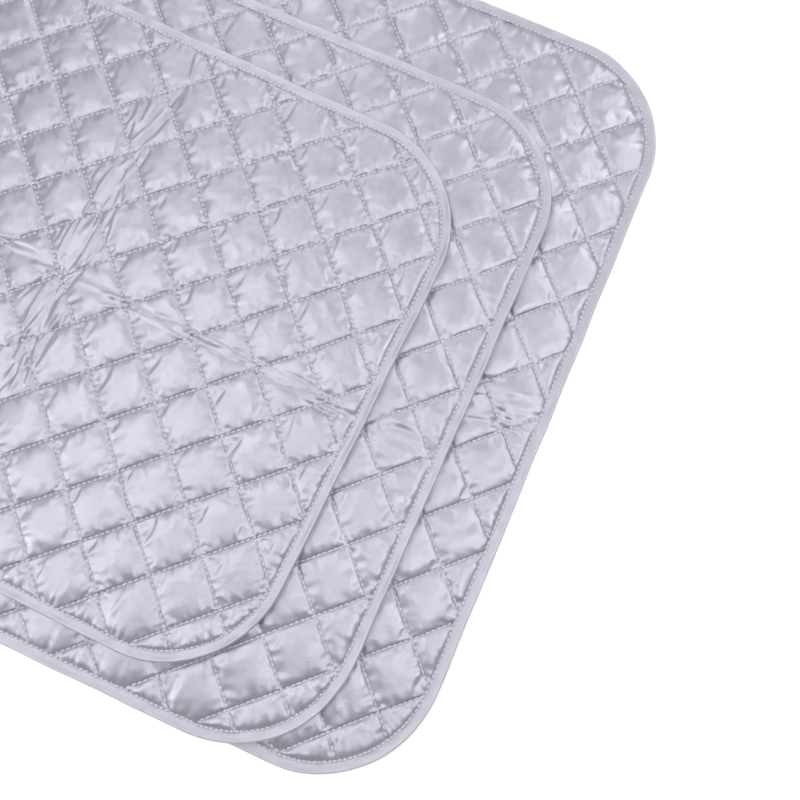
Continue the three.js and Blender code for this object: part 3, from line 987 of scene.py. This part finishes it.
def mesh_object(name, points, face_sets, uv=None, worn=None):
    """Makes an object from points and arrays of three- or four-sided faces.

    The UV map run holds lengths along and across the piece, and a float attribute holds painted
    shade where it is above zero and a painted highlight where it is below zero.
    """
    mesh = bpy.data.meshes.new(name)
    loops = np.concatenate([f.ravel() for f in face_sets]).astype(np.int32)
    sizes = np.concatenate([np.full(len(f), f.shape[1]) for f in face_sets]).astype(np.int32)
    mesh.vertices.add(len(points))
    mesh.vertices.foreach_set("co", np.asarray(points, np.float32).ravel())
    mesh.loops.add(len(loops))
    mesh.loops.foreach_set("vertex_index", loops)
    mesh.polygons.add(len(sizes))
    mesh.polygons.foreach_set("loop_start", np.append(0, np.cumsum(sizes)[:-1]).astype(np.int32))
    mesh.polygons.foreach_set("use_smooth", np.ones(len(sizes), bool))
    if uv is not None:
        layer = mesh.uv_layers.new(name="run")
        layer.data.foreach_set("uv", np.asarray(uv[loops], np.float32).ravel())
    # The float attribute carries painted shade, and on the tape, below zero, a painted highlight.
    if worn is not None:
        mesh.attributes.new("worn", "FLOAT", "POINT").data.foreach_set("value", worn.astype(np.float32))
    mesh.update(calc_edges=True)
    mesh.validate()
    thing = bpy.data.objects.new(name, mesh)
    bpy.context.scene.collection.objects.link(thing)
    return thing


def add_piece(pad, name, made, material, replaced):
    """Puts a piece on its pad's body with its material, and hides the solids that it stands for."""
    piece = mesh_object(f"{pad.name}_{name}", *made)
    piece.data.materials.append(material)
    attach(piece, pad.body)
    nodes = [f"{pad.name}_{node}" for node in replaced]
    if nodes:
        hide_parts(*nodes)
    return piece


# Materials


def add_node(tree, kind, settings=None, inputs=None):
    """Adds a node, sets its fields, and gives each input a value or a link from another socket."""
    made = tree.nodes.new(kind)
    for field, value in (settings or {}).items():
        setattr(made, field, value)
    for key, value in (inputs or {}).items():
        if isinstance(value, bpy.types.NodeSocket):
            tree.links.new(value, made.inputs[key])
        else:
            made.inputs[key].default_value = value
    return made


def new_material(name):
    """An empty material and its node tree."""
    material = bpy.data.materials.new(name)
    material.use_nodes = True
    material.node_tree.nodes.clear()
    return material, material.node_tree


def wave_scale(millimetres):
    """Scale at which a wave texture repeats after a real length. At scale 1 that is pi / 10 units."""
    return math.pi / 10 * 1000 / millimetres


def cloth_material(name, light, shade, patch_mm, coords, turn, finish):
    """Woven cloth: two crossing sets of threads as bump, and soft patches of duller colour.

    The weave is the larger of two waves at right angles, each one thread spacing long. Real
    thread spacing is about 0.2 mm; it is drawn coarser so that it shows in the render.
    """
    material, tree = new_material(name)
    source = add_node(tree, "ShaderNodeTexCoord")
    place = add_node(tree, "ShaderNodeMapping", None,
                     {"Vector": source.outputs[coords], "Rotation": (0, 0, math.radians(turn))})
    waves = [add_node(tree, "ShaderNodeTexWave",
                      {"wave_type": "BANDS", "bands_direction": direction, "wave_profile": "SIN"},
                      {"Vector": place.outputs["Vector"], "Scale": wave_scale(WEAVE_MM),
                       "Distortion": 0.6, "Detail": 1.0})
             for direction in ("X", "Y")]
    weave = add_node(tree, "ShaderNodeMath", {"operation": "MAXIMUM"},
                     {0: waves[0].outputs["Fac"], 1: waves[1].outputs["Fac"]})
    patches = add_node(tree, "ShaderNodeTexNoise", None,
                       {"Vector": source.outputs[coords], "Scale": 1000 / patch_mm, "Detail": 3.0})
    tone = add_node(tree, "ShaderNodeMix", {"data_type": "RGBA"},
                    {"Factor": patches.outputs["Fac"], COLOUR_A: shade, COLOUR_B: light})
    # Painted shade: the darker colour mixed in where the mesh attribute is above zero.
    if "worn" in finish:
        shading_attribute = add_node(tree, "ShaderNodeAttribute", {"attribute_name": "worn"})
        tone = add_node(tree, "ShaderNodeMix", {"data_type": "RGBA"},
                        {"Factor": shading_attribute.outputs["Fac"], COLOUR_A: tone.outputs[MIXED],
                         COLOUR_B: finish["worn"]})
    # Painted highlight: the pale colour mixed in where the mesh attribute is below zero.
    if "pale" in finish:
        highlight_share = add_node(tree, "ShaderNodeMath", {"operation": "MULTIPLY"},
                             {0: shading_attribute.outputs["Fac"], 1: -0.8})
        tone = add_node(tree, "ShaderNodeMix", {"data_type": "RGBA"},
                        {"Factor": highlight_share.outputs["Value"], COLOUR_A: tone.outputs[MIXED],
                         COLOUR_B: finish["pale"]})
    dull = add_node(tree, "ShaderNodeMapRange", None,
                    {"Value": patches.outputs["Fac"], "From Min": 0.3, "From Max": 0.7,
                     "To Min": finish["roughness"] - 0.05, "To Max": finish["roughness"] + 0.05})
    crush = add_node(tree, "ShaderNodeTexNoise", None,
                     {"Vector": source.outputs[coords], "Scale": 1000 / CRUSH_MM, "Detail": 4.0,
                      "Roughness": 0.65, "Distortion": 0.8})
    creased = add_node(tree, "ShaderNodeBump", None,
                       {"Height": crush.outputs["Fac"], "Strength": finish["crush"], "Distance": 0.001})
    bump = add_node(tree, "ShaderNodeBump", None,
                    {"Height": weave.outputs["Value"], "Strength": finish["weave"], "Distance": 0.0001,
                     "Normal": creased.outputs["Normal"]})
    shader = add_node(tree, "ShaderNodeBsdfPrincipled", None,
                      {"Base Color": tone.outputs[MIXED], "Roughness": dull.outputs["Result"],
                       "Metallic": finish["metallic"], "Sheen Weight": finish["sheen"],
                       "Normal": bump.outputs["Normal"]})
    add_node(tree, "ShaderNodeOutputMaterial", None, {"Surface": shader.outputs["BSDF"]})
    return material


def thread_material(colours):
    """Spun polyester thread: matt, with slanting strands, and painted shade in the hollows between them."""
    material, tree = new_material("spun_polyester_thread")
    source = add_node(tree, "ShaderNodeTexCoord")
    strands = add_node(tree, "ShaderNodeTexWave",
                       {"wave_type": "BANDS", "bands_direction": "DIAGONAL", "wave_profile": "SIN"},
                       {"Vector": source.outputs["UV"], "Scale": wave_scale(STRAND_MM), "Distortion": 0.5})
    # Painted shade: the darker colour in the bands between the strands.
    tone = add_node(tree, "ShaderNodeMix", {"data_type": "RGBA"},
                    {"Factor": strands.outputs["Fac"], COLOUR_A: tuple(colours.thread_painted_shade),
                     COLOUR_B: tuple(colours.thread)})
    shader = add_node(tree, "ShaderNodeBsdfPrincipled", None,
                      {"Base Color": tone.outputs[MIXED], "Roughness": 0.6, "Sheen Weight": 0.2})
    add_node(tree, "ShaderNodeOutputMaterial", None, {"Surface": shader.outputs["BSDF"]})
    return material


def piece_material(name, colours):
    """Makes a piece's material the first time it is asked for."""
    if name in bpy.data.materials:
        return bpy.data.materials[name]
    if name == "spun_polyester_thread":
        return thread_material(colours)
    if name == "silver_coated_taffeta":
        # Polyester taffeta with an aluminium-pigment coating: satin, half way to metal.
        # Its seams get painted shade from the face's attribute.
        return cloth_material(name, tuple(colours.face), tuple(colours.face_shade), 14, "Object", 0,
                              {"roughness": 0.44, "metallic": 0.6, "sheen": 0.0, "weave": 0.1,
                               "crush": 0.2, "worn": tuple(colours.painted_seam_shade)})
    if name == "silver_bias_tape":
        # The same cloth cut on the bias, so its weave runs at 45 degrees to the edge.
        # Its stitch row gets painted shade and the crest of its roll a painted highlight.
        return cloth_material(name, tuple(colours.tape), tuple(colours.tape_shade), 10, "UV", 45,
                              {"roughness": 0.46, "metallic": 0.45, "sheen": 0.0, "weave": 0.12,
                               "crush": 0.3, "worn": tuple(colours.painted_seam_shade),
                               "pale": tuple(colours.painted_rim_highlight)})
    # Uncoated plain-woven polyester: matt and even.
    return cloth_material(name, tuple(colours.back), tuple(colours.back_shade), 20, "Object", 0,
                          {"roughness": 0.8, "metallic": 0.0, "sheen": 0.2, "weave": 0.3, "crush": 0.1})


# Operators


class PadSetOperator:
    """What the operators share: the settings and the pads."""

    bl_options = {"REGISTER", "UNDO"}

    def settings(self, context):
        """The sizes, the colours and the three pads."""
        sizes, colours = context.scene.pad_set_sizes, context.scene.pad_set_colours
        return sizes, colours, pad_set(sizes)


class PADS_OT_quilted_faces(PadSetOperator, bpy.types.Operator):
    """Sews the padded, quilted face of each pad"""

    bl_idname = "ironing_pads.quilted_faces"
    bl_label = "Quilted faces"

    def execute(self, context):
        sizes, colours, pads = self.settings(context)
        swatch = stitched_swatch(sizes)
        for pad in pads:
            piece = add_piece(pad, "quilted_face", quilted_face(pad, sizes, swatch),
                              piece_material("silver_coated_taffeta", colours),
                              ("face_cover", "wadding"))
        return {"FINISHED"}


class PADS_OT_backings(PadSetOperator, bpy.types.Operator):
    """Lays the backing cloth under each pad"""

    bl_idname = "ironing_pads.backings"
    bl_label = "Backings"

    def execute(self, context):
        sizes, colours, pads = self.settings(context)
        for pad in pads:
            piece = add_piece(pad, "backing_cloth", backing_sheet(pad, sizes),
                              piece_material("plain_woven_backing", colours),
                              ("backing",))
        return {"FINISHED"}


class PADS_OT_bindings(PadSetOperator, bpy.types.Operator):
    """Folds the binding tape round each pad and sews it down"""

    bl_idname = "ironing_pads.bindings"
    bl_label = "Edge bindings"

    def execute(self, context):
        sizes, colours, pads = self.settings(context)
        for pad in pads:
            add_piece(pad, "bound_edge", swept_tape(pad, sizes),
                      piece_material("silver_bias_tape", colours), ("edge_binding",))
            add_piece(pad, "tape_stitches", tape_stitches(pad, sizes),
                      piece_material("spun_polyester_thread", colours),
                      ("binding_thread",))
        return {"FINISHED"}


class PADS_OT_quilting_stitches(PadSetOperator, bpy.types.Operator):
    """Sews the crossing rows of quilting stitches on both sides of each pad"""

    bl_idname = "ironing_pads.quilting_stitches"
    bl_label = "Quilting stitches"

    def execute(self, context):
        sizes, colours, pads = self.settings(context)
        thread = piece_material("spun_polyester_thread", colours)
        for pad in pads:
            add_piece(pad, "face_stitches", face_stitches(pad, sizes), thread, ())
            add_piece(pad, "back_stitches", back_stitches(pad, sizes), thread, ())
        return {"FINISHED"}


class PADS_OT_stage(PadSetOperator, bpy.types.Operator):
    """Sets the floor, the light and the camera"""

    bl_idname = "ironing_pads.stage"
    bl_label = "Stage"

    def execute(self, context):
        scene = context.scene
        scene.view_settings.view_transform = "Standard"
        lay_floor(scene.pad_set_colours)
        light_world(scene)
        for name, place, power in SOFTBOXES:
            add_lamp(f"{name}_softbox", place, SOFTBOX_TARGET, SOFTBOX_SIDE, power)
        place_camera(scene)
        return {"FINISHED"}


def lay_floor(colours):
    """Wide sheet of white studio paper. It shows pure white where no shadow falls on it.

    It glows to the camera and to shiny cloth, more away from the pads, where the lamps don't reach.
    """
    corners = np.array([[-1, -1, 0], [1, -1, 0], [1, 1, 0], [-1, 1, 0]]) * FLOOR_HALF
    floor = mesh_object("studio_floor", corners - [0, 0, FLOOR_GAP], [np.array([[0, 1, 2, 3]])])
    material, tree = new_material("studio_paper")
    path = add_node(tree, "ShaderNodeLightPath")
    seen = add_node(tree, "ShaderNodeMath", {"operation": "ADD", "use_clamp": True},
                    {0: path.outputs["Is Camera Ray"], 1: path.outputs["Is Glossy Ray"]})
    seen = add_node(tree, "ShaderNodeMath", {"operation": "ADD", "use_clamp": True},
                    {0: seen.outputs["Value"], 1: path.outputs["Is Transmission Ray"]})
    source = add_node(tree, "ShaderNodeTexCoord")
    away = add_node(tree, "ShaderNodeVectorMath", {"operation": "LENGTH"}, {0: source.outputs["Object"]})
    lit = add_node(tree, "ShaderNodeMapRange", {"interpolation_type": "SMOOTHSTEP"},
                   {"Value": away.outputs["Value"], "From Min": 0.5, "From Max": 1.5,
                    "To Min": 0.4, "To Max": 1.0})
    glow = add_node(tree, "ShaderNodeMath", {"operation": "MULTIPLY"},
                    {0: seen.outputs["Value"], 1: lit.outputs["Result"]})
    shader = add_node(tree, "ShaderNodeBsdfPrincipled", None,
                      {"Base Color": tuple(colours.floor), "Roughness": 0.9,
                       "Emission Color": (1, 1, 1, 1), "Emission Strength": glow.outputs["Value"]})
    add_node(tree, "ShaderNodeOutputMaterial", None, {"Surface": shader.outputs["BSDF"]})
    floor.data.materials.append(material)


def light_world(scene):
    """Studio room: dim light from all round, and white walls that the camera and shiny cloth see.

    Shiny cloth sees them by the height of a direction, the sine of its angle over the horizon.
    """
    world = bpy.data.worlds.new("white_room")
    world.use_nodes = True
    tree = world.node_tree
    tree.nodes.clear()
    ray = add_node(tree, "ShaderNodeLightPath")
    direction = add_node(tree, "ShaderNodeTexCoord")
    height = add_node(tree, "ShaderNodeSeparateXYZ", None, {"Vector": direction.outputs["Generated"]})
    wall = add_node(tree, "ShaderNodeMapRange", {"interpolation_type": "SMOOTHSTEP"},
                    {"Value": height.outputs["Z"], "From Min": 0.1, "From Max": 0.3,
                     "To Min": 1.0, "To Max": 0.0})
    mirrored = add_node(tree, "ShaderNodeMath", {"operation": "ADD"},
                        {0: ray.outputs["Is Glossy Ray"], 1: ray.outputs["Is Transmission Ray"]})
    seen = add_node(tree, "ShaderNodeMath", {"operation": "MULTIPLY_ADD"},
                    {0: mirrored.outputs["Value"], 1: wall.outputs["Result"],
                     2: ray.outputs["Is Camera Ray"]})
    strength = add_node(tree, "ShaderNodeMapRange", None,
                        {"Value": seen.outputs["Value"], "To Min": ROOM_LIGHT, "To Max": 1.0})
    room = add_node(tree, "ShaderNodeBackground", None,
                    {"Color": (1, 1, 1, 1), "Strength": strength.outputs["Result"]})
    add_node(tree, "ShaderNodeOutputWorld", None, {"Surface": room.outputs["Background"]})
    scene.world = world


def add_lamp(name, place, target, size, power):
    """A square softbox that faces its target."""
    lamp = bpy.data.lights.new(name, "AREA")
    lamp.shape, lamp.size, lamp.energy = "SQUARE", size, power
    thing = bpy.data.objects.new(name, lamp)
    thing.location = place
    thing.rotation_euler = (Vector(target) - Vector(place)).to_track_quat("-Z", "Y").to_euler()
    bpy.context.scene.collection.objects.link(thing)


def place_camera(scene):
    """Camera at the photograph's angle."""
    low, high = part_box("large_edge_binding")
    middle = (low + high) / 2
    camera = bpy.data.cameras.new("photo_camera")
    camera.sensor_width, camera.lens = CAMERA_FRAME, CAMERA_LENS
    camera.clip_start = 0.01
    thing = bpy.data.objects.new("photo_camera", camera)
    thing.location = Vector(CAMERA_PLACE) + Vector((middle.x, middle.y, 0))
    thing.rotation_euler = Euler([math.radians(degrees) for degrees in CAMERA_TURN])
    scene.collection.objects.link(thing)
    scene.camera = thing


class PADS_PT_sidebar(bpy.types.Panel):
    """Sizes, colours and making steps of the pads"""

    bl_idname = "PADS_PT_sidebar"
    bl_label = "Ironing pads"
    bl_space_type = "VIEW_3D"
    bl_region_type = "UI"
    bl_category = "Ironing pads"

    def draw(self, context):
        for group in (context.scene.pad_set_sizes, context.scene.pad_set_colours):
            box = self.layout.box()
            for name in group.bl_rna.properties.keys():
                if name not in ("rna_type", "name"):
                    box.prop(group, name)
        for step in STEPS:
            self.layout.operator(step.bl_idname)


STEPS = (
    PADS_OT_quilted_faces, PADS_OT_backings, PADS_OT_bindings, PADS_OT_quilting_stitches, PADS_OT_stage,
)
CLASSES = (PadSetSizes, PadSetColours, *STEPS, PADS_PT_sidebar)


def register():
    for made in CLASSES:
        bpy.utils.register_class(made)
    bpy.types.Scene.pad_set_sizes = bpy.props.PointerProperty(type=PadSetSizes)
    bpy.types.Scene.pad_set_colours = bpy.props.PointerProperty(type=PadSetColours)


def unregister():
    del bpy.types.Scene.pad_set_colours
    del bpy.types.Scene.pad_set_sizes
    for made in reversed(CLASSES):
        bpy.utils.unregister_class(made)


def main():
    register()
    bpy.ops.ironing_pads.quilted_faces()
    bpy.ops.ironing_pads.backings()
    bpy.ops.ironing_pads.bindings()
    bpy.ops.ironing_pads.quilting_stitches()
    bpy.ops.ironing_pads.stage()


if __name__ == "__main__":
    main()
